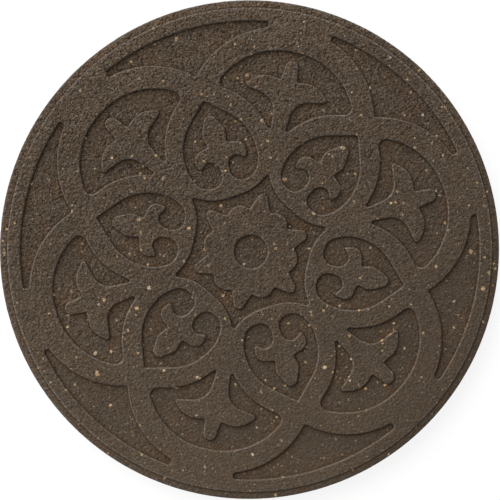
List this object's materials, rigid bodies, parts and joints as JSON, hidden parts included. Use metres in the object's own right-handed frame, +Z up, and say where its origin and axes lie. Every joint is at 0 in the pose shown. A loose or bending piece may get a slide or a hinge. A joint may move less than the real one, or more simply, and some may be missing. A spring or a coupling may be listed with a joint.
{
  "type": "garden stepping stone",
  "caption": "Round moulded rubber stepping stone for a garden path, with a stepped edge and a sunk rosette of crescents, lilies, hearts and a star-framed flower on its flat tread.",
  "frame": {"origin": "centre of the flat underside", "axes": "+Z up out of the tread, +X along the axis of one lily, +Y along the axis of one heart"},
  "size_m": [0.4499, 0.45, 0.02],
  "materials": {
    "rubber_crumb": "matte bound rubber crumb, dark grey-brown with tan flecks"
  },
  "bodies": {
    "root": {"stepping_stone": "rubber_crumb"}
  },
  "joints": []
}
